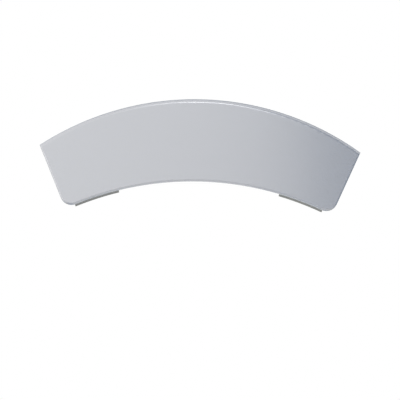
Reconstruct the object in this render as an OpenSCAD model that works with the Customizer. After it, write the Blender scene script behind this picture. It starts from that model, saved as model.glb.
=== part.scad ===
// Door handle of a front loading washing machine: a painted crescent cover on a lever
// that turns about a pin near its outer edge and swings a sprung hook.
// Millimetres, +Z up, front towards -Y. The origin is the centre of the bracket's
// four screw holes, on its mounting face.

/* [Face] */
// Width over the two top corners
face_w = 220; // [205:1:240]
// Height from the lower edge to the outer edge, in the middle
face_h = 56.6; // [52:0.2:62]
// Radius of the outer edge, which follows the rim of the door
outer_r = 193.6; // [185:0.2:205]
// Radius of the lower edge
inner_r = 210; // [200:0.5:230]
// Lean of the straight ends from the vertical, in degrees
end_lean = 23.3; // [18:0.1:27]
// Radius of the lower corners in the outline
corner_r = 8; // [6.5:0.5:10]
// Distance of the front face from the mounting face
face_depth = 24; // [23:0.5:28]

/* [Cover] */
// Wall of the cover
cover_wall = 2.4; // [2:0.1:2.8]
// Depth of the cover's rim, from the front face
rim_depth = 6; // [5.2:0.1:6.5]
// Rounding of the outer edge
outer_edge_r = 3; // [1.5:0.1:3.2]
// Bevel of the other edges of the face
edge_bevel = 0.7; // [0.4:0.1:1.2]
// Radius of a screw boss on the cover
boss_r = 3.2; // [3:0.1:3.6]
// Width of a clip tab
tab_w = 8; // [5:0.5:9]
// Thickness of a clip tab
tab_t = 1.6; // [1.2:0.1:1.8]
// Reach of a clip tab's barb
barb_reach = 0.8; // [0.5:0.1:1]

/* [Lever body] */
// Gap between the cover and what it holds
nest_gap = 0.3; // [0.2:0.05:0.4]
// Thickness of the lever's base plate
plate_t = 2.5; // [2:0.1:2.8]
// Wall of the lever's tray and cheeks
tray_wall = 2.2; // [1.8:0.1:2.6]
// Height of the finger recess above the lower edge
finger_rise = 16; // [14:0.5:17]
// Corner radius of the finger recess
finger_corner_r = 5; // [3:0.5:6]
// Distance from the face's top corner in to the outer end of a cheek, along X
cheek_inset = 25.4; // [24.4:0.2:34]
// Width of a cheek, along X
cheek_w = 29.7; // [24:0.1:32]
// Height of a cheek above the lower edge
cheek_h = 14; // [12:0.5:15]
// Distance of the cheeks' back edges from the mounting face
cheek_back = 6; // [5:0.2:7]
// Distance of the tray's back edge from the mounting face
tray_back = 7.2; // [6.5:0.1:8]
// Distance of the outer wall's back edge from the mounting face
outer_wall_back = 10; // [9:0.2:11]
// Thickness of the stiffening ribs
rib_t = 1.6; // [1.2:0.1:2]
// Distance of the ribs' back edges from the mounting face
rib_back = 11; // [10:0.5:13]

/* [Hinge] */
// Distance from the outer edge down to the hinge pin
pivot_drop = 15; // [14.5:0.1:16]
// Distance of the hinge pin from the mounting face
pivot_depth = 9; // [8.8:0.1:9.4]
// Radius of the hinge pin
pin_r = 2; // [1.8:0.05:2.2]
// Radial clearance of the pin in the lever and the hook
running_clearance = 0.06; // [0.03:0.01:0.09]
// Radial clearance of the pin in the bracket
seat_clearance = 0.03; // [0.02:0.01:0.05]
// Outer radius of a lever knuckle
knuckle_r = 5; // [4.6:0.1:5.2]
// Width of a lever knuckle
knuckle_w = 6; // [5:0.5:7]
// Side gap between pieces that share the pin
side_gap = 0.4; // [0.3:0.05:0.5]
// Full opening angle of the lever, in degrees
pull_angle = 18; // [14:1:18]
// Outer radius of a retaining ring
clip_r = 4.2; // [3.6:0.1:4.4]
// Thickness of a retaining ring
clip_t = 0.8; // [0.6:0.1:0.9]

/* [Bracket] */
// Thickness of the bracket's base
base_t = 3; // [2.6:0.1:3.2]
// Width of the bracket's base
base_w = 92; // [90:1:94]
// Height of the bracket's base
base_h = 34; // [33:0.5:35]
// Spacing of the screw holes along X
hole_span_x = 80; // [79:0.5:81]
// Spacing of the screw holes along Z
hole_span_z = 18; // [16:0.5:19]
// Radius of a screw hole
hole_r = 1.75; // [1.5:0.05:2]
// Outer radius of a screw boss on the bracket
bracket_boss_r = 3.8; // [3.4:0.1:4]
// Distance from the middle of the hole pattern up to the hinge pin
pivot_rise = 12; // [11.5:0.1:12.5]
// Outer radius of a bracket ear
ear_r = 5.5; // [5:0.1:5.6]
// Thickness of an outer ear
outer_ear_t = 4; // [3:0.2:4.4]
// Thickness of an inner ear
inner_ear_t = 3; // [2.4:0.2:3.4]

/* [Hook] */
// Width of the hook
hook_w = 8; // [7:0.5:8.5]
// Radius of the hook's hub
hub_r = 5; // [4.4:0.1:5.1]
// Height of the hook's arm
arm_h = 6; // [5:0.2:6.4]
// Distance from the hinge pin to the latching face
latch_reach = 29; // [26:0.5:34]
// Height of the latching face above the arm
latch_h = 8; // [6:0.5:9]
// Length of the hook's nose behind the latching face
nose_len = 9; // [8:0.5:12]
// Extra angle by which the slammed door pushes the hook down, in degrees
slam_angle = 14; // [8:1:14]

/* [Springs] */
// Wire radius of the return springs
return_wire_r = 0.6; // [0.4:0.05:0.65]
// Coil radius of the return springs
return_coil_r = 3.7; // [3.3:0.1:3.9]
// Wire radius of the hook spring
hook_wire_r = 0.45; // [0.3:0.05:0.5]
// Coil radius of the hook spring
hook_coil_r = 3.5; // [3.2:0.1:3.7]

/* [Buffers] */
// Head radius of a buffer
buffer_r = 4.5; // [3.6:0.1:4.8]
// Thickness of a buffer's head
buffer_t = 3; // [2:0.1:4]
// Radius of a buffer's stem
buffer_stem_r = 2; // [1.6:0.1:2.4]
// Length of a buffer's stem
buffer_stem_len = 5; // [3:0.2:6]

/* [Screws] */
// Radius of a cover screw's thread
screw_r = 1.45; // [1.2:0.05:1.6]
// Length of a cover screw under its head
screw_len = 7; // [6:0.2:7.5]
// Head radius of a cover screw
screw_head_r = 3.1; // [2.6:0.1:3.4]
// Head height of a cover screw
screw_head_h = 2.1; // [1.6:0.1:2.6]

/* [Hidden] */
$fn = 96;
big_fn = 240;
hair = 0.1;
over = 1;
// Rounded corners stand this much proud, so that surfaces cross and never graze
proud = 0.01;

// Places on the face
pivot_z = pivot_rise;
pivot_y = -pivot_depth;
arc_z = pivot_z + pivot_drop - outer_r;
hollow_z = arc_z + outer_r - face_h - inner_r;
top_corner_z = arc_z + sqrt(outer_r * outer_r - face_w * face_w / 4);
end_len = 80;

// Levels in depth
face_y = -face_depth;
rim_y = face_y + rim_depth;
plate_front = face_y + cover_wall + nest_gap;
plate_back = plate_front + plate_t;
cheek_front = rim_y + nest_gap;
nest_inset = cover_wall + nest_gap;

// Centre of the rounded lower corner on the right, as a walk down the end line
end_down = [-sin(end_lean), -cos(end_lean)];
end_inward = [-cos(end_lean), sin(end_lean)];
hollow_centre = [0, hollow_z];
end_top = [face_w / 2, top_corner_z];
walk_start = end_top + corner_r * end_inward - hollow_centre;
walk_b = walk_start * end_down;
walk_c = walk_start * walk_start - pow(inner_r + corner_r, 2);
corner_centre = hollow_centre + walk_start + (-walk_b - sqrt(walk_b * walk_b - walk_c)) * end_down;
corner_to_hollow = (hollow_centre - corner_centre) / norm(hollow_centre - corner_centre);

// Ends of the cheeks, as angles about the centre of the lower edge
cheek_out_x = face_w / 2 - cheek_inset;
cheek_in_a = asin((cheek_out_x - cheek_w) / inner_r);
cheek_out_a = asin(cheek_out_x / inner_r);

// Places along the pin, from the middle outwards
coil_space_w = 5.9;
inner_ear_x = hook_w / 2 + coil_space_w + side_gap;
spring_lane_x = inner_ear_x + inner_ear_t;
spring_lane_w = 9.4;
knuckle_x = spring_lane_x + spring_lane_w;
outer_ear_x = knuckle_x + knuckle_w + side_gap;
groove_x = outer_ear_x + outer_ear_t + side_gap / 2;
pin_tail = 1.3;
pin_end_x = groove_x + clip_t + pin_tail;
groove_d = 0.4;
groove_r = pin_r - groove_d;

// Angle of the top corner about the centre of the outer edge, and the middle of the
// ring-shaped band between the outer edge and the finger recess
end_a = asin(face_w / 2 / outer_r);
band_r = outer_r - (face_h - finger_rise) / 2;

// Screws of the cover: [angle about the outer centre, radius]
screw_spots = [[0.375 * end_a, band_r - 7.3], [0.737 * end_a, band_r - 6.3]];
boss_back = rim_y + 1.8;
cup_floor_t = 2;
cup_top_gap = 0.2;
cup_back = boss_back + cup_top_gap + cup_floor_t;
cup_gap = 0.3;
cup_wall = 2;
cup_r = boss_r + cup_gap + cup_wall;

// Clip tabs of the cover: near the finger recess, and near the outer edge
low_tab_a = 4.55;
low_tab_r = inner_r + finger_rise + tray_wall + 2.2;
high_tab_a = 0.555 * end_a;
high_tab_r = outer_r - nest_inset - tray_wall - 3.4;
slot_gap = 0.5;
barb_gap = 0.15;

// Levels of the bracket
base_top = pivot_z + 8;
base_bottom = base_top - base_h;
base_front = -base_t;
base_corner_r = 6;
flange_t = 1.8;
flange_front = base_front - 2.5;
bracket_boss_front = base_front - 5;

// The closed stop and the open stop of the lever, and the face that pushes the hook
stop_gap = 0.35;
stop_x = knuckle_x + 1;
stop_w = 4;
stop_z = base_bottom + flange_t + 2.7;
web_top = pivot_z + 9.5;
toe_h = 7;
toe_y = (pivot_depth - base_t - hair - toe_h * sin(pull_angle)) / cos(pull_angle);
lug_gap = 0.1;
lug_front = -2;
lug_back = 1.4;
lug_top = hub_r + 3;
pusher_w = hook_w - 2;

// The slot in the base lets the hook through, pulled and slammed at once
slot_side = 0.5;
swing_angle = pull_angle + slam_angle;
slot_top = arm_h / 2 + 0.7;
slot_low = arm_h / 2 / cos(swing_angle) + pivot_depth * tan(swing_angle) + 1.2;

// Buffers, in the middle of the cheeks
buffer_a = (cheek_in_a + cheek_out_a) / 2;
buffer_at_r = inner_r + cheek_h / 2;
buffer_seat_y = -cheek_back - 1.5;
buffer_fit = 0.1;

// Shapes drawn in the plane of the face: first coordinate X, second Z

module both_sides() {
    children();
    mirror([1, 0, 0]) children();
}

module end_wedge(inset) {
    high = end_top + inset * end_inward - end_len * end_down;
    low = end_top + inset * end_inward + end_len * end_down;
    polygon([high, low, [-low[0], low[1]], [-high[0], high[1]]]);
}

module corner_waste() {
    reach = 3 * corner_r;
    polygon([
        corner_centre,
        corner_centre - reach * end_inward,
        corner_centre + reach * (corner_to_hollow - end_inward),
        corner_centre + reach * corner_to_hollow
    ]);
}

// Outline of the face, moved in by inset all round, without its rounded lower corners
module face_less_corners(inset = 0) {
    difference() {
        intersection() {
            translate([0, arc_z]) circle(outer_r - inset, $fn = big_fn);
            end_wedge(inset);
        }
        translate(hollow_centre) circle(inner_r + inset, $fn = big_fn);
        both_sides() corner_waste();
    }
}

module face_outline(inset = 0) {
    face_less_corners(inset);
    both_sides() intersection() {
        translate(corner_centre) circle(corner_r - inset);
        corner_waste();
    }
}

// Wedge that opens upwards from the centre of the lower edge, grown by grow
module hollow_wedge(angle, grow = 0) {
    far = 2 * inner_r;
    translate(hollow_centre - [0, grow / sin(angle)])
        polygon([[0, 0], [far * sin(angle), far * cos(angle)], [-far * sin(angle), far * cos(angle)]]);
}

// Where the finger recess rounds into its ends, on the right
round_polar = inner_r + finger_rise - finger_corner_r;
round_a = cheek_in_a - asin(finger_corner_r / round_polar);
round_at = hollow_centre + round_polar * [sin(round_a), cos(round_a)];

module finger_corner_wedge() {
    up = 3 * finger_corner_r * [sin(round_a), cos(round_a)];
    side = 3 * finger_corner_r * [cos(cheek_in_a), -sin(cheek_in_a)];
    polygon([round_at, round_at + up, round_at + up + side, round_at + side]);
}

// The space behind the face for the fingers, grown by grow
module finger_outline(grow = 0) {
    difference() {
        intersection() {
            translate(hollow_centre) circle(inner_r + finger_rise + grow, $fn = big_fn);
            hollow_wedge(cheek_in_a, grow);
        }
        both_sides() finger_corner_wedge();
    }
    both_sides() translate(round_at) circle(finger_corner_r + grow + proud);
}

module tray_outline(inset = 0) {
    difference() {
        face_outline(nest_inset + inset);
        finger_outline(inset);
    }
}

module cheek_outline(inset = 0) {
    difference() {
        intersection() {
            face_outline(inset);
            hollow_wedge(cheek_out_a, -inset);
            translate(hollow_centre) circle(inner_r + cheek_h - inset, $fn = big_fn);
        }
        hollow_wedge(cheek_in_a, inset);
    }
}

// Ways of giving the flat shapes their place

// From depth y0 back to depth y1
module slab(y0, y1) {
    translate([0, y1, 0]) rotate([90, 0, 0]) linear_extrude(y1 - y0) children();
}

// A profile drawn in Y and Z, from x0 to x1
module along_x(x0, x1) {
    translate([x0, 0, 0]) rotate([90, 0, 90]) linear_extrude(x1 - x0) children();
}

// A profile drawn in radius and height towards the front, turned about an axis along Y
module turned(centre, start = 0, angle = 360) {
    translate([centre[0], 0, centre[1]]) rotate([90, 0, 0])
        rotate_extrude(angle = angle, start = start, $fn = big_fn) children();
}

// A cylinder along Y from depth y0 back to depth y1
module post(r, y0, y1) {
    translate([0, y1, 0]) rotate([90, 0, 0]) cylinder(r = r, h = y1 - y0);
}

// A cylinder along X at the hinge axis
module barrel(r, x0, x1) {
    translate([x0, pivot_y, pivot_z]) rotate([0, 90, 0]) cylinder(r = r, h = x1 - x0);
}

// Polar places about the centre of the outer edge, leaning with the angle
module at_outer(angle, r) {
    translate([0, 0, arc_z]) rotate([0, angle, 0]) translate([0, 0, r]) children();
}

module at_hollow(angle, r) {
    translate([0, 0, hollow_z]) rotate([0, angle, 0]) translate([0, 0, r]) children();
}

// Box centred in X and Z on the place, from depth y0 back to depth y1
module bar(w, h, y0, y1) {
    translate([-w / 2, y0, -h / 2]) cube([w, y1 - y0, h]);
}

// What is cut away to round an edge: a square corner less a circle
module edge_waste(r) {
    difference() {
        translate([-r, -r]) square(r + over);
        translate([-r, -r]) circle(r);
    }
}

// What is cut away to bevel an edge
module bevel_waste(b) {
    polygon([[-b - over, over], [over, -b - over], [over, over]]);
}

// The solid cover: the lower corners are turned discs
module cover_blank() {
    difference() {
        slab(face_y, rim_y) face_less_corners();
        turned([0, arc_z]) translate([outer_r, face_depth]) edge_waste(outer_edge_r);
        turned(hollow_centre) translate([inner_r, face_depth]) mirror([1, 0]) bevel_waste(edge_bevel);
        both_sides() translate([face_w / 2, 0, top_corner_z]) rotate([0, end_lean, 0])
            translate([0, face_y, -end_len]) mirror([0, 1, 0])
                linear_extrude(end_len + outer_edge_r) bevel_waste(edge_bevel);
    }
    both_sides() turned(corner_centre) difference() {
        translate([0, -rim_y]) square([corner_r + proud, rim_depth]);
        translate([corner_r + proud, face_depth]) bevel_waste(edge_bevel);
    }
}

// One clip: a tab that passes through the lever's plate, with a barb behind it
module clip_tab() {
    tab_back = plate_back + 2;
    barb_front = plate_back + barb_gap;
    bar(tab_w, tab_t, face_y + cover_wall - hair, tab_back);
    translate([0, 0, tab_t / 2]) along_x(-tab_w / 2, tab_w / 2)
        polygon([[barb_front, 0], [barb_front, barb_reach], [tab_back, 0]]);
}

module front_cover() {
    color([0.78, 0.79, 0.81]) {
        difference() {
            union() {
                difference() {
                    cover_blank();
                    slab(face_y + cover_wall, rim_y + over) face_outline(cover_wall);
                }
                both_sides() for (spot = screw_spots)
                    at_outer(spot[0], spot[1]) post(boss_r, face_y + cover_wall - hair, boss_back);
            }
            both_sides() for (spot = screw_spots)
                at_outer(spot[0], spot[1])
                    post(screw_r + 0.05, cup_back - screw_len - cup_gap, boss_back + over);
        }
        both_sides() {
            at_hollow(low_tab_a, low_tab_r) clip_tab();
            at_outer(high_tab_a, high_tab_r) clip_tab();
        }
    }
}

// The knuckle, its web to the plate and the outer wall, and the open stop's toe
module lever_knuckle() {
    x1 = knuckle_x + knuckle_w;
    barrel(knuckle_r, knuckle_x, x1);
    intersection() {
        along_x(knuckle_x, x1) polygon([
            [plate_back - hair, pivot_z - knuckle_r],
            [pivot_y, pivot_z - knuckle_r],
            [pivot_y, web_top],
            [plate_back - hair, web_top]
        ]);
        slab(face_y, 0) face_outline(nest_inset + tray_wall / 2);
    }
    along_x(knuckle_x, x1) translate([pivot_y - hair, pivot_z]) square([toe_y + hair, toe_h]);
}

module outer_wedge(angle) {
    far = 2 * outer_r;
    translate([0, arc_z])
        polygon([[0, 0], [far * sin(angle), far * cos(angle)], [-far * sin(angle), far * cos(angle)]]);
}

// Ribs on the back of the plate, high at the sides and low behind the bracket
module lever_ribs() {
    ring_r = band_r - 5.7;
    middle_r = outer_r - face_h / 2;
    ring_start_a = 0.44 * end_a;
    ring_end_a = 0.85 * end_a;
    intersection() {
        union() {
            both_sides() {
                for (part = [0.48, 0.63, 0.786])
                    at_outer(part * end_a, middle_r) bar(rib_t, face_h, plate_back - hair, -rib_back);
                for (part = [0.127, 0.272])
                    at_outer(part * end_a, middle_r) bar(rib_t, face_h, plate_back - hair, plate_back + plate_t);
            }
            slab(plate_back - hair, -rib_back) intersection() {
                difference() {
                    translate([0, arc_z]) circle(ring_r, $fn = big_fn);
                    translate([0, arc_z]) circle(ring_r - rib_t, $fn = big_fn);
                    outer_wedge(ring_start_a);
                }
                outer_wedge(ring_end_a);
            }
        }
        slab(plate_back - over, -rib_back + over) tray_outline(tray_wall / 2);
    }
}

// A cheek: a box open at the back, with a boss for the buffer
module cheek() {
    slab(cheek_front, -cheek_back) difference() {
        cheek_outline();
        cheek_outline(tray_wall);
    }
    slab(cheek_front, cheek_front + tray_wall) cheek_outline();
}

module buffer_boss() {
    at_hollow(buffer_a, buffer_at_r) post(buffer_stem_r + cup_wall, cheek_front, buffer_seat_y);
}

module clip_slot() {
    slot_w = tab_w + 2 * slot_gap;
    slot_below = 1.2;
    translate([-slot_w / 2, plate_front - over, -tab_t / 2 - slot_below])
        cube([slot_w, plate_t + 2 * over, tab_t + slot_below + barb_gap]);
}

module lever_body() {
    color([0.62, 0.62, 0.6]) difference() {
        union() {
            difference() {
                union() {
                    slab(plate_front, plate_back) face_outline(nest_inset);
                    slab(plate_back - hair, -tray_back) difference() {
                        tray_outline();
                        tray_outline(tray_wall);
                    }
                    lever_ribs();
                    both_sides() cheek();
                }
                slab(cheek_front + tray_wall, 0) both_sides() cheek_outline(tray_wall);
                slab(-outer_wall_back, 0) difference() {
                    translate([0, arc_z]) circle(outer_r, $fn = big_fn);
                    translate([0, arc_z]) circle(outer_r - nest_inset - tray_wall - over, $fn = big_fn);
                }
            }
            both_sides() {
                lever_knuckle();
                buffer_boss();
                for (spot = screw_spots)
                    at_outer(spot[0], spot[1]) post(cup_r, plate_back - hair, cup_back);
                translate([stop_x + stop_w / 2, 0, stop_z])
                    bar(stop_w, stop_w, plate_back - hair, base_front - stop_gap);
            }
            hook_pusher();
        }
        both_sides() {
            barrel(pin_r + running_clearance, knuckle_x - over, knuckle_x + knuckle_w + over);
            at_hollow(buffer_a, buffer_at_r)
                post(buffer_stem_r + buffer_fit, buffer_seat_y - buffer_stem_len - buffer_fit, 0);
            for (spot = screw_spots) at_outer(spot[0], spot[1]) {
                post(boss_r + cup_gap, plate_front - over, boss_back + cup_top_gap);
                post(screw_r + cup_gap, boss_back, cup_back + over);
                post(screw_head_r + 2 * cup_gap, cup_back, 0);
            }
            at_hollow(low_tab_a, low_tab_r) clip_slot();
            at_outer(high_tab_a, high_tab_r) clip_slot();
        }
    }
}

// The block above the hinge that bears on the hook's lug
module hook_pusher() {
    hub_gap = 0.8;
    push_y = pivot_y + lug_front - lug_gap;
    high = pivot_drop - nest_inset - tray_wall / 2;
    translate([-pusher_w / 2, plate_back - hair, pivot_z + hub_r + hub_gap])
        cube([pusher_w, push_y - plate_back + hair, high - hub_r - hub_gap]);
}

module cover_screw() {
    tip = 1.4;
    recess_w = 0.8;
    recess_l = 3.4;
    recess_d = 1.1;
    difference() {
        union() {
            post(screw_head_r, cup_back, cup_back + screw_head_h);
            post(screw_r, cup_back - screw_len + tip, cup_back + hair);
            translate([0, cup_back - screw_len + tip, 0]) rotate([90, 0, 0])
                cylinder(r1 = screw_r, r2 = 0.5, h = tip);
        }
        bar(recess_w, recess_l, cup_back + screw_head_h - recess_d, cup_back + screw_head_h + over);
        bar(recess_l, recess_w, cup_back + screw_head_h - recess_d, cup_back + screw_head_h + over);
    }
}

module cover_screws() {
    color([0.72, 0.7, 0.6]) both_sides() for (spot = screw_spots)
        at_outer(spot[0], spot[1]) cover_screw();
}

module rounded_rect(x0, x1, z0, z1, r) {
    translate([x0 + r, z0]) square([x1 - x0 - 2 * r, z1 - z0]);
    translate([x0, z0 + r]) square([x1 - x0, z1 - z0 - 2 * r]);
    for (x = [x0 + r, x1 - r], z = [z0 + r, z1 - r]) translate([x, z]) circle(r);
}

module base_outline(inset = 0) {
    half = base_w / 2 - inset;
    rounded_rect(-half, half, base_bottom + inset, base_top - inset, base_corner_r - inset);
}

module ear(x0, x1) {
    foot = 2.2;
    along_x(x0, x1) {
        translate([pivot_y, pivot_z]) circle(ear_r);
        polygon([
            [pivot_y, pivot_z + ear_r],
            [base_front + hair, pivot_z + ear_r + foot],
            [base_front + hair, pivot_z - ear_r - 2 * foot],
            [pivot_y, pivot_z - ear_r]
        ]);
    }
}

module screw_places() {
    for (x = [-hole_span_x / 2, hole_span_x / 2], z = [-hole_span_z / 2, hole_span_z / 2])
        translate([x, 0, z]) children();
}

module bearing_bracket() {
    slot_w = hook_w + 2 * slot_side;
    color([0.25, 0.26, 0.28]) difference() {
        union() {
            slab(base_front, 0) base_outline();
            slab(flange_front, base_front + hair) difference() {
                base_outline();
                base_outline(flange_t);
                translate([-outer_ear_x, base_top - 2 * flange_t]) square([2 * outer_ear_x, 3 * flange_t]);
            }
            both_sides() {
                ear(inner_ear_x, inner_ear_x + inner_ear_t);
                ear(outer_ear_x, outer_ear_x + outer_ear_t);
            }
            screw_places() post(bracket_boss_r, bracket_boss_front, base_front + hair);
        }
        screw_places() post(hole_r, bracket_boss_front - over, over);
        translate([-slot_w / 2, base_front - over, pivot_z - slot_low])
            cube([slot_w, base_t + 2 * over, slot_low + slot_top]);
        both_sides() barrel(pin_r + seat_clearance, inner_ear_x - over, outer_ear_x + outer_ear_t + over);
    }
}

module pivot_pin() {
    chamfer = 0.4;
    groove_end = groove_x + clip_t + hair;
    half = [
        [pin_r, groove_x],
        [groove_r, groove_x],
        [groove_r, groove_end],
        [pin_r, groove_end],
        [pin_r, pin_end_x - chamfer],
        [pin_r - chamfer, pin_end_x],
        [0, pin_end_x]
    ];
    other = [for (i = [len(half) - 1:-1:0]) [half[i][0], -half[i][1]]];
    color([0.75, 0.76, 0.78]) translate([0, pivot_y, pivot_z]) rotate([0, 90, 0])
        rotate_extrude() polygon(concat(other, half));
}

// A retaining ring that snaps into the groove from below
module ring_profile() {
    seat_r = groove_r + 0.05;
    difference() {
        circle(clip_r);
        circle(seat_r);
        translate([-seat_r * 0.8, -clip_r - over]) square([seat_r * 1.6, clip_r + over]);
        for (a = [30, 150]) rotate(a) translate([seat_r + 0.3, 0]) circle(0.75);
    }
}

module pivot_clips() {
    clip_x = groove_x + hair / 2;
    color([0.35, 0.36, 0.38]) both_sides()
        along_x(clip_x, clip_x + clip_t) translate([pivot_y, pivot_z]) ring_profile();
}

// The hook in profile, from the hinge axis: hub, arm, latching face and ramped nose
module hook_profile() {
    half = arm_h / 2;
    tip = latch_reach + nose_len;
    nose_flat = 2.4;
    root_r = 1.2;
    circle(hub_r);
    polygon([
        [0, -half],
        [tip - 4, -half],
        [tip, half - 2.5],
        [tip - 0.6, half],
        [latch_reach + nose_flat, half + latch_h],
        [latch_reach, half + latch_h],
        [latch_reach, half],
        [0, half]
    ]);
    translate([latch_reach, half]) difference() {
        translate([-root_r, -hair]) square([root_r + hair, root_r + hair]);
        translate([-root_r, root_r]) circle(root_r);
    }
    translate([lug_front, 0]) square([lug_back - lug_front, lug_top]);
}

module latch_hook() {
    pocket_d = 1.8;
    pocket_half = arm_h / 2 - 1.6;
    color([0.7, 0.7, 0.72]) difference() {
        along_x(-hook_w / 2, hook_w / 2) translate([pivot_y, pivot_z]) hook_profile();
        barrel(pin_r + running_clearance, -hook_w, hook_w);
        both_sides() along_x(hook_w / 2 - pocket_d, hook_w) translate([pivot_y, pivot_z])
            rounded_rect(hub_r + 2.5, latch_reach + 3, -pocket_half, pocket_half, pocket_half - hair);
    }
}

// Wires: a ring of corners carried along a path

function unit(v) = v / norm(v);
function square_to(n, t) = unit(n - (n * t) * t);
function reversed(list) = [for (i = [len(list) - 1:-1:0]) list[i]];
function mirrored(path) = [for (p = path) [-p[0], p[1], p[2]]];

module wire(path, r, start_normal, sides = 8) {
    last = len(path) - 1;
    ahead = [for (i = [0:last]) unit(path[min(i + 1, last)] - path[max(i - 1, 0)])];
    normals = [
        for (i = 0, n = square_to(start_normal, ahead[0]); i <= last;
            i = i + 1, n = i <= last ? square_to(n, ahead[i]) : n) n
    ];
    corners = [
        for (i = [0:last], k = [0:sides - 1])
            path[i] + r * cos(360 * k / sides) * normals[i]
                + r * sin(360 * k / sides) * cross(ahead[i], normals[i])
    ];
    walls = [
        for (i = [0:last - 1], k = [0:sides - 1], half = [0, 1])
            let (a = i * sides + k, b = i * sides + (k + 1) % sides)
                half == 0 ? [a, a + sides, b] : [b, a + sides, b + sides]
    ];
    front = [for (k = [0:sides - 1]) k];
    back = [for (k = [sides - 1:-1:0]) last * sides + k];
    polyhedron(corners, concat(walls, [front, back]));
}

// Where a straight leg from a point touches a coil; side is +1 or -1
function touch_angle(p, r, side) = atan2(p[1], p[0]) + side * acos(r / norm(p));
function on_coil(x, r, a) = [x, pivot_y + r * cos(a), pivot_z + r * sin(a)];
function at_pivot(x, p) = [x, pivot_y + p[0], pivot_z + p[1]];
function coil(x0, x1, r, a0, a1) = let (steps = ceil(abs(a1 - a0) / 20))
    [for (i = [0:steps]) on_coil(x0 + (x1 - x0) * i / steps, r, a0 + (a1 - a0) * i / steps)];

// A return spring: squeezed above the pin between the base and the lever's plate
module return_spring() {
    leg_reach = 1.95 * return_coil_r;
    turns = 5;
    base_leg = [pivot_depth - base_t - return_wire_r - hair, leg_reach];
    plate_leg = [plate_back - pivot_y + return_wire_r + hair, leg_reach];
    x0 = spring_lane_x + return_wire_r + side_gap;
    x1 = knuckle_x - return_wire_r - side_gap;
    a0 = touch_angle(base_leg, return_coil_r, -1);
    a1 = touch_angle(plate_leg, return_coil_r, 1) - 360 * turns;
    path = concat([at_pivot(x0, base_leg)], coil(x0, x1, return_coil_r, a0, a1), [at_pivot(x1, plate_leg)]);
    color([0.8, 0.8, 0.82]) wire(path, return_wire_r, [1, 0, 0]);
}

module return_spring_right() {
    return_spring();
}

module return_spring_left() {
    mirror([1, 0, 0]) return_spring();
}

// The hook's double spring: a bridge under the arm, a coil on each side, two legs on the base
module hook_spring() {
    wall_gap = 0.35;
    base_gap = 0.6;
    arm_gap = 0.15;
    bend_r = 0.7;
    turns = 4;
    bridge = [pivot_depth - base_t - hook_wire_r - base_gap, -arm_h / 2 - hook_wire_r - arm_gap];
    base_leg = [pivot_depth - base_t - hook_wire_r - hair, 1.7 * hook_coil_r];
    x0 = hook_w / 2 + hook_wire_r + wall_gap;
    x1 = inner_ear_x - hook_wire_r - wall_gap;
    a0 = touch_angle(bridge, hook_coil_r, 1);
    a1 = touch_angle(base_leg, hook_coil_r, -1) + 360 * turns;
    corner = at_pivot(x0, bridge);
    leg_way = unit(on_coil(x0, hook_coil_r, a0) - corner);
    bend = [
        for (a = [0:22.5:90])
            corner + bend_r * ((sin(a) - 1) * [1, 0, 0] + (1 - cos(a)) * leg_way)
    ];
    half = concat(bend, coil(x0, x1, hook_coil_r, a0, a1), [at_pivot(x1, base_leg)]);
    color([0.8, 0.8, 0.82])
        wire(concat(reversed(mirrored(half)), half), hook_wire_r, [1, 0, 0]);
}

// A rubber buffer: a round head on a stem pressed into its boss
module buffer() {
    edge_r = 1;
    tip = 1;
    color([0.15, 0.15, 0.15]) at_hollow(buffer_a, buffer_at_r) translate([0, buffer_seat_y, 0])
        rotate([-90, 0, 0]) rotate_extrude() difference() {
            polygon([
                [0, buffer_t],
                [buffer_r, buffer_t],
                [buffer_r, 0],
                [buffer_stem_r, 0],
                [buffer_stem_r, tip - buffer_stem_len],
                [buffer_stem_r - tip / 2, -buffer_stem_len],
                [0, -buffer_stem_len]
            ]);
            translate([buffer_r, buffer_t]) edge_waste(edge_r);
        }
}

module buffer_right() {
    buffer();
}

module buffer_left() {
    mirror([1, 0, 0]) buffer();
}

front_cover();
lever_body();
cover_screws();
bearing_bracket();
pivot_pin();
pivot_clips();
return_spring_left();
return_spring_right();
latch_hook();
hook_spring();
buffer_left();
buffer_right();
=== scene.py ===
from math import acos, atan2, cos, pi, radians, sin, sqrt

import bpy
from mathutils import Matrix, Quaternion, Vector


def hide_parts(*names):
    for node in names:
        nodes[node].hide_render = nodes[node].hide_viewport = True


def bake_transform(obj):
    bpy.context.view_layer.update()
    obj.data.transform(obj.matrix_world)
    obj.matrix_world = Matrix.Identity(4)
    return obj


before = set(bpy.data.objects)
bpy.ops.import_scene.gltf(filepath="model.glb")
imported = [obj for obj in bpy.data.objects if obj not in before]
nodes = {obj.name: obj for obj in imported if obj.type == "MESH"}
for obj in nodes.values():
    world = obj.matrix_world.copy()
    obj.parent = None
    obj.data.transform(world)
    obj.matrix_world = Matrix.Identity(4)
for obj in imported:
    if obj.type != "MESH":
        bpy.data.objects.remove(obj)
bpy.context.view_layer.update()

MM = 0.001

# Front cover. The face that the hand sees: one ABS moulding, sprayed silver-grey and
# lacquered on its outside. Inside, the bare grey plastic shows behind a soft edge of
# overspray on the rim.

FACE_Y = -24 * MM
OUTER_CENTRE_Z = -166.6 * MM
OUTER_R = 193.6 * MM
LOWER_CENTRE_Z = -239.6 * MM
LOWER_R = 210 * MM
TOP_CORNER = (110 * MM, -7.29 * MM)
END_LEAN = radians(23.3)
SPRAYED_RIM = 1.3 * MM
SPRAY_FADE = 0.5 * MM
SILVER = (0.61, 0.618, 0.645)
BARE_ABS = (0.40, 0.40, 0.385)


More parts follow.
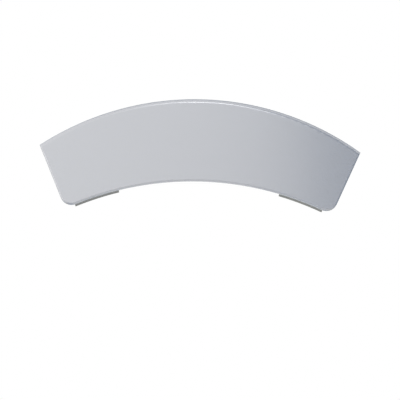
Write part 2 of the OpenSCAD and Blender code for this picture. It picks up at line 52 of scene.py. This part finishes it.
class Sock:
    """A material's socket that takes Python's operators as shader maths."""

    def __init__(self, finish, socket):
        self.finish = finish
        self.socket = socket

    def __add__(self, other):
        return self.finish.maths("ADD", self, other)

    def __sub__(self, other):
        return self.finish.maths("SUBTRACT", self, other)

    def __rsub__(self, other):
        return self.finish.maths("SUBTRACT", other, self)

    def __mul__(self, other):
        return self.finish.maths("MULTIPLY", self, other)

    __radd__ = __add__
    __rmul__ = __mul__

    def size(self):
        return self.finish.maths("ABSOLUTE", self)

    def root(self):
        return self.finish.maths("SQRT", self)

    def fade(self, start, end):
        """0 at start and 1 at end, held outside them."""
        ends = {"Value": self, "From Min": start, "From Max": end}
        return self.finish.node("ShaderNodeMapRange", {}, ends)


class Finish:
    """A material with one Principled shader, worked out from Object coordinates."""

    def __init__(self, name, constants):
        self.material = bpy.data.materials.new(name)
        self.material.use_nodes = True
        self.tree = self.material.node_tree
        self.shader = self.tree.nodes["Principled BSDF"]
        self.put(constants)
        self.place = self.node("ShaderNodeTexCoord", {}, {}, "Object")
        self.x, self.y, self.z = (
            self.node("ShaderNodeSeparateXYZ", {}, {"Vector": self.place}, axis) for axis in "XYZ")

    def node(self, kind, settings, inputs, out=0):
        made = self.tree.nodes.new(kind)
        for key, value in settings.items():
            setattr(made, key, value)
        for key, value in inputs.items():
            self.feed(made.inputs[key], value)
        return Sock(self, made.outputs[out])

    def feed(self, target, value):
        if isinstance(value, Sock):
            self.tree.links.new(value.socket, target)
        elif target.type == "RGBA":
            target.default_value = (*value, 1)
        else:
            target.default_value = value

    def maths(self, operation, a, b=0.0):
        return self.node("ShaderNodeMath", {"operation": operation}, {0: a, 1: b})

    def mix(self, share, first, second):
        """Colour first where share is 0 and second where it is 1."""
        shares = {0: share, 6: first, 7: second}
        return self.node("ShaderNodeMix", {"data_type": "RGBA"}, shares, 2)

    def noise(self, grain, detail=2.0, stretch=(1, 1, 1)):
        """Noise about 0.5, with grains of that length in metres."""
        placed = self.node("ShaderNodeMapping", {}, {"Vector": self.place, "Scale": stretch})
        grains = {"Vector": placed, "Scale": 1 / grain, "Detail": detail}
        return self.node("ShaderNodeTexNoise", {}, grains)

    def relief(self, height, depth, edge_r):
        """Bumps of that depth in metres, over edges that are rounded by edge_r."""
        soft = self.node("ShaderNodeBevel", {"samples": 4}, {"Radius": edge_r})
        bumps = {"Height": height, "Distance": depth, "Normal": soft}
        self.put({"Normal": self.node("ShaderNodeBump", {}, bumps)})

    def put(self, values):
        for key, value in values.items():
            self.feed(self.shader.inputs[key], value)

    def on(self, *objects):
        for o in objects:
            o.data.materials.clear()
            o.data.materials.append(self.material)


def radius_about(finish, centre_z):
    """Distance from an axis along Y through x = 0 at that height."""
    up = finish.z - centre_z
    return (finish.x * finish.x + up * up).root()


silver = Finish("silver_lacquer", {"Coat Roughness": 0.08})
rim_top = OUTER_R - SPRAYED_RIM
rim_bottom = LOWER_R + SPRAYED_RIM
inside_top = radius_about(silver, OUTER_CENTRE_Z).fade(rim_top, rim_top - SPRAY_FADE)
inside_bottom = radius_about(silver, LOWER_CENTRE_Z).fade(rim_bottom, rim_bottom + SPRAY_FADE)
past_corner_x = silver.x.size() - TOP_CORNER[0]
past_end = past_corner_x * cos(END_LEAN) - (silver.z - TOP_CORNER[1]) * sin(END_LEAN)
inside_end = past_end.fade(-SPRAYED_RIM, -SPRAYED_RIM - SPRAY_FADE)
behind_face = silver.y.fade(FACE_Y + 1.4 * MM, FACE_Y + 1.8 * MM)
bare = inside_top * inside_bottom * inside_end * behind_face
overspray = silver.noise(2.5 * MM, 3) * silver.y.fade(-19.2 * MM, -18 * MM)
bare = bare * (1 - overspray * 0.6)
flake = silver.noise(0.25 * MM, 1).fade(0.3, 0.7)
glint = silver.mix(flake, [0.975 * c for c in SILVER], [1.025 * c for c in SILVER])
silver.put({
    "Base Color": silver.mix(bare, glint, BARE_ABS),
    "Metallic": 0.45 - bare * 0.45,
    "Roughness": 0.27 + bare * 0.25,
    "Coat Weight": 0.25 - bare * 0.25,
})
silver.relief(silver.noise(1.6 * MM, 2), 0.006 * MM, 0.35 * MM)
silver.on(nodes["front_cover"])

# Lever body. The hidden moulding that carries everything and that the fingers pull by
# its two cheeks: unpainted grey ABS with a fine spark-eroded grain, and round ejector
# marks on the back of its plate.

LEVER_GREY = (0.29, 0.291, 0.265)
MARK_R = 2.6 * MM

grained = Finish("grained_abs", {})
mottle = grained.noise(9 * MM, 3)
grained.put({
    "Base Color": grained.mix(mottle.fade(0.35, 0.65),
                              [0.97 * c for c in LEVER_GREY], [1.03 * c for c in LEVER_GREY]),
    "Roughness": 0.5 + 0.12 * mottle,
})
spread = radius_about(grained, OUTER_CENTRE_Z)
turn = grained.maths("ARCTAN2", grained.x, grained.z - OUTER_CENTRE_Z)
across = grained.maths("PINGPONG", turn, radians(3.9)) * spread
along = spread - (OUTER_R - 11.5 * MM)
from_mark = (across * across + along * along).root()
mark = (from_mark - MARK_R).size().fade(0.3 * MM, 0.05 * MM) * grained.y.fade(-19 * MM, -18.9 * MM)
mark = mark * grained.y.fade(-18.6 * MM, -18.7 * MM)
grained.relief(grained.noise(0.35 * MM, 2) - mark * 4, 0.02 * MM, 0.3 * MM)
grained.on(nodes["lever_body"])

# Cover screws. Four thread-forming steel screws, yellow-white zinc plated, that pull
# the cover's bosses down on the lever body.

zinc = Finish("zinc_plating", {"Metallic": 1.0})
bloom = zinc.noise(1.2 * MM, 3)
zinc.put({
    "Base Color": zinc.mix(bloom.fade(0.35, 0.65), (0.62, 0.6, 0.5), (0.7, 0.69, 0.64)),
    "Roughness": 0.25 + 0.25 * bloom,
})
zinc.relief(bloom, 0.004 * MM, 0.12 * MM)
zinc.on(nodes["cover_screws"])

# Bearing bracket. The fixed bracket with the four hinge ears, moulded in black nylon
# filled with short glass fibres, which leave a fine streaky surface.

nylon = Finish("glass_filled_nylon", {})
fibres = nylon.noise(0.5 * MM, 3, (1, 1, 0.3))
nylon.put({
    "Base Color": nylon.mix(fibres.fade(0.4, 0.7), (0.03, 0.032, 0.035), (0.05, 0.052, 0.056)),
    "Roughness": 0.42 + 0.2 * fibres,
})
nylon.relief(fibres, 0.02 * MM, 0.35 * MM)
nylon.on(nodes["bearing_bracket"])

# Pivot pin. A ground steel pin that carries the lever and the hook, with fine grinding
# rings round it.

ground = Finish("ground_steel", {"Metallic": 1.0, "Base Color": (0.66, 0.66, 0.68)})
rings = ground.noise(0.4 * MM, 2, (1, 0.02, 0.02))
ground.put({"Roughness": 0.16 + 0.16 * rings})
ground.relief(rings, 0.003 * MM, 0.1 * MM)
ground.on(nodes["pivot_pin"])

# Pivot clips. Two stamped spring-steel rings snapped into the pin's end grooves, dark
# from their phosphate bath.

phosphate = Finish("phosphated_steel", {"Metallic": 0.85})
crystals = phosphate.noise(0.3 * MM, 3)
phosphate.put({
    "Base Color": phosphate.mix(crystals.fade(0.35, 0.65), (0.1, 0.1, 0.105), (0.19, 0.19, 0.2)),
    "Roughness": 0.4 + 0.15 * crystals,
})
phosphate.relief(crystals, 0.004 * MM, 0.1 * MM)
phosphate.on(nodes["pivot_clips"])

# Return springs. Two torsion springs round the pin, one on each side: five turns of
# 1.2 mm wire, one leg flat on the bracket's base and the other against the lever's
# plate.

PIVOT_Y = -9 * MM
PIVOT_Z = 12 * MM
BASE_Y = -3 * MM
PLATE_BACK = -18.8 * MM
RETURN_WIRE_R = 0.6 * MM
RETURN_COIL_R = 3.7 * MM
RETURN_X0 = 14.3 * MM
RETURN_X1 = 21.7 * MM

drawn = Finish("drawn_wire", {"Metallic": 1.0})
draw_lines = drawn.noise(0.3 * MM, 2, (0.25, 1, 1))
drawn.put({
    "Base Color": drawn.mix(draw_lines.fade(0.35, 0.65), (0.5, 0.5, 0.52), (0.62, 0.62, 0.64)),
    "Roughness": 0.22 + 0.16 * draw_lines,
})


def touch(leg, coil_r, side):
    """Angle at which a straight leg that ends there meets the coil."""
    return atan2(leg[1], leg[0]) + side * acos(coil_r / sqrt(leg[0] ** 2 + leg[1] ** 2))


def from_pivot(x, leg):
    return Vector((x, PIVOT_Y + leg[0], PIVOT_Z + leg[1]))


def coil_way(x0, x1, coil_r, a0, a1):
    """Points along a coil round the pin, 24 to a turn."""
    steps = round(abs(a1 - a0) / radians(15))
    return [
        from_pivot(x0 + (x1 - x0) * i / steps,
                   (coil_r * cos(a0 + (a1 - a0) * i / steps), coil_r * sin(a0 + (a1 - a0) * i / steps)))
        for i in range(steps + 1)
    ]


def wire(name, way, wire_r, side=1):
    """A round wire along the points, mirrored in X where side is -1."""
    bpy.ops.object.select_all(action="DESELECT")
    bpy.ops.curve.primitive_nurbs_path_add()
    made = bpy.context.view_layer.objects.active
    made.name = name
    curve = made.data
    curve.dimensions = "3D"
    curve.bevel_depth = wire_r
    curve.bevel_resolution = 4
    curve.use_fill_caps = True
    curve.splines.clear()
    line = curve.splines.new("POLY")
    line.points.add(len(way) - 1)
    for point, at in zip(line.points, way):
        point.co = (side * at.x, at.y, at.z, 1)
    bpy.ops.object.convert(target="MESH")
    made = bpy.context.view_layer.objects.active
    bpy.ops.object.mode_set(mode="EDIT")
    bpy.ops.mesh.select_all(action="SELECT")
    bpy.ops.mesh.remove_doubles(threshold=0.00001)
    bpy.ops.mesh.normals_make_consistent(inside=False)
    bpy.ops.object.mode_set(mode="OBJECT")
    bpy.ops.object.shade_smooth_by_angle(angle=radians(40))
    drawn.on(made)
    return made


LEG_REACH = 1.95 * RETURN_COIL_R
base_leg = (BASE_Y - PIVOT_Y - RETURN_WIRE_R - 0.1 * MM, LEG_REACH)
plate_leg = (PLATE_BACK - PIVOT_Y + RETURN_WIRE_R + 0.1 * MM, LEG_REACH)
return_way = [from_pivot(RETURN_X0, base_leg)]
return_way += coil_way(RETURN_X0, RETURN_X1, RETURN_COIL_R,
                       touch(base_leg, RETURN_COIL_R, -1), touch(plate_leg, RETURN_COIL_R, 1) - 10 * pi)
return_way += [from_pivot(RETURN_X1, plate_leg)]
for side, node in ((1, "return_spring_right"), (-1, "return_spring_left")):
    spring = wire(node + "_wire", return_way, RETURN_WIRE_R, side)
    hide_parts(node)
    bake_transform(spring)

# Latch hook. The hook that reaches into the door lock: a nickel-plated steel arm with
# a hub on the pin and a lug that the lever pushes.

nickel = Finish("satin_nickel", {"Metallic": 1.0})
tumble = nickel.noise(0.8 * MM, 3)
nickel.put({
    "Base Color": nickel.mix(tumble.fade(0.35, 0.65), (0.56, 0.56, 0.57), (0.64, 0.63, 0.62)),
    "Roughness": 0.28 + 0.14 * tumble,
})
nickel.relief(tumble, 0.006 * MM, 0.35 * MM)
nickel.on(nodes["latch_hook"])

# Hook spring. One double torsion spring of 0.9 mm wire: its bridge lifts the hook's arm
# from below, a coil sits on each side of the hub, and two legs bear on the base. Each
# half is split in mid-coil, where the wire has turned just as far as the lever.

HOOK_WIRE_R = 0.45 * MM
HOOK_COIL_R = 3.5 * MM
HOOK_X0 = 4.8 * MM
HOOK_X1 = 9.5 * MM
BEND_R = 0.7 * MM

bridge = (BASE_Y - PIVOT_Y - HOOK_WIRE_R - 0.6 * MM, -3.6 * MM)
foot = (BASE_Y - PIVOT_Y - HOOK_WIRE_R - 0.1 * MM, 1.7 * HOOK_COIL_R)
hook_coil = coil_way(HOOK_X0, HOOK_X1, HOOK_COIL_R,
                     touch(bridge, HOOK_COIL_R, 1), touch(foot, HOOK_COIL_R, -1) + 8 * pi)
corner = from_pivot(HOOK_X0, bridge)
to_coil = (hook_coil[0] - corner).normalized()
bend = [
    corner + BEND_R * ((sin(a) - 1) * Vector((1, 0, 0)) + (1 - cos(a)) * to_coil)
    for a in (radians(15 * i) for i in range(7))
]
middle = len(hook_coil) // 2
arm_way = [Vector((0, corner.y, corner.z))] + bend + hook_coil[:middle + 1]
foot_way = hook_coil[middle:] + [from_pivot(HOOK_X1, foot)]
for side, tag in ((1, "right"), (-1, "left")):
    arm_half = wire("hook_spring_arm_" + tag, arm_way, HOOK_WIRE_R, side)
    foot_half = wire("hook_spring_foot_" + tag, foot_way, HOOK_WIRE_R, side)
    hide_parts("hook_spring")
    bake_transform(arm_half)
    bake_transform(foot_half)

# Buffers. Two moulded rubber buttons pushed into the cheeks, which land on the door
# ring. Matt black, with a little dust.

rubber = Finish("moulded_rubber", {})
dust = rubber.noise(1.5 * MM, 4)
rubber.put({
    "Base Color": rubber.mix(dust.fade(0.5, 0.8), (0.022, 0.022, 0.022), (0.05, 0.05, 0.048)),
    "Roughness": 0.6 + 0.15 * dust,
})
rubber.relief(dust, 0.01 * MM, 0.15 * MM)
for node in ("buffer_left", "buffer_right"):
    rubber.on(nodes[node])

# Studio. A pale floor far below and an even white room, with a soft box on the left and a
# narrow strip overhead. Grey cards ahead and beside shade the right end, and those behind,
# above and below show in the gloss of the edges. The one below casts no shade.

FLOOR_Z = -1.2


def shown_white(tree):
    """1 for the rays that see the studio straight, in gloss or through glass, else 0."""
    seen = tree.nodes.new("ShaderNodeLightPath")
    share = seen.outputs["Is Camera Ray"]
    for ray in ("Is Glossy Ray", "Is Transmission Ray"):
        either = tree.nodes.new("ShaderNodeMath")
        either.operation = "MAXIMUM"
        tree.links.new(share, either.inputs[0])
        tree.links.new(seen.outputs[ray], either.inputs[1])
        share = either.outputs[0]
    return share


def level(tree, share, low, high, target):
    """Feeds target with low where share is 0 and high where it is 1."""
    between = tree.nodes.new("ShaderNodeMapRange")
    between.inputs["To Min"].default_value = low
    between.inputs["To Max"].default_value = high
    tree.links.new(share, between.inputs["Value"])
    tree.links.new(between.outputs[0], target)


world = bpy.data.worlds.new("white_room")
bpy.context.scene.world = world
world.use_nodes = True
backdrop = world.node_tree.nodes["Background"]
backdrop.inputs["Color"].default_value = (1, 1, 1, 1)
level(world.node_tree, shown_white(world.node_tree), 0.77, 1.0, backdrop.inputs["Strength"])

bpy.ops.object.select_all(action="DESELECT")
bpy.ops.mesh.primitive_plane_add(size=12, location=(0, 0, FLOOR_Z))
floor = bpy.context.view_layer.objects.active
floor.name = "studio_floor"
pale = bpy.data.materials.new("pale_floor")
pale.use_nodes = True
surface = pale.node_tree.nodes["Principled BSDF"]
surface.inputs["Base Color"].default_value = (0.85, 0.85, 0.85, 1)
surface.inputs["Roughness"].default_value = 0.9
surface.inputs["Emission Color"].default_value = (1, 1, 1, 1)
level(pale.node_tree, shown_white(pale.node_tree), 0.0, 0.12, surface.inputs["Emission Strength"])
floor.data.materials.append(pale)

grey = bpy.data.materials.new("grey_card")
grey.use_nodes = True
grey.node_tree.nodes["Principled BSDF"].inputs["Base Color"].default_value = (0.46, 0.525, 0.625, 1)
grey.node_tree.nodes["Principled BSDF"].inputs["Roughness"].default_value = 1.0


def card(name, at, size, tilt=90, turn=0):
    """A flat card that the camera doesn't see, upright where tilt is 90."""
    bpy.ops.mesh.primitive_plane_add(size=1, rotation=(radians(tilt), 0, radians(turn)), location=at)
    made = bpy.context.view_layer.objects.active
    made.name = name
    made.scale = (*size, 1)
    made.visible_camera = False
    made.data.materials.append(grey)
    return made


card("card_ahead", (0.3425, -0.38, 0.1), (0.515, 1.0))
card("card_beside", (0.6, -0.04, 0.1), (0.68, 1.0), turn=90)
card("card_behind_right", (0.4075, 1.5, -0.23), (0.785, 0.5))
card("card_behind_left", (-0.26, 1.5, -0.23), (0.48, 0.5))
card("card_above", (0.05, 0.3, 0.75), (1.1, 0.9))
below = card("card_below", (-0.15, 0.55, -0.45), (0.2, 1.9), tilt=0)
below.visible_diffuse = False
below.visible_shadow = False


def panel(name, at, aim, size, watts):
    """A rectangular soft light that faces its aim."""
    bpy.ops.object.light_add(type="AREA", location=at)
    lamp = bpy.context.view_layer.objects.active
    lamp.name = name
    lamp.data.shape = "RECTANGLE"
    lamp.data.size, lamp.data.size_y = size
    lamp.data.energy = watts
    lamp.rotation_mode = "QUATERNION"
    lamp.rotation_quaternion = (Vector(aim) - Vector(at)).to_track_quat("-Z", "Y")


panel("soft_box_left", (-0.65, -0.45, 0.0), (-0.05, 0, -0.03), (0.6, 0.6), 2.0)
panel("strip_overhead", (0.004, -0.45, 0.26), (-0.012, -0.02, 0.0), (0.085, 0.03), 0.118)

# Camera. A long lens a little below the handle, tilted up at it, with the handle
# turned slightly clockwise in the picture.

SIGHT = Vector((0.84 * MM, FACE_Y, -43.03 * MM))
PICTURE_W = 273.3 * MM
DISTANCE = 2.4
BELOW = radians(7)
ROLL = radians(1.38)

away = Vector((0, -cos(BELOW), -sin(BELOW)))
bpy.ops.object.camera_add(location=SIGHT + DISTANCE * away)
camera = bpy.context.view_layer.objects.active
camera.data.sensor_width = 36
camera.data.lens = 36 * DISTANCE / PICTURE_W
camera.data.clip_end = 100
camera.rotation_mode = "QUATERNION"
camera.rotation_quaternion = (-away).to_track_quat("-Z", "Y") @ Quaternion((0, 0, 1), ROLL)
bpy.context.scene.camera = camera
bpy.context.scene.view_settings.view_transform = "Standard"
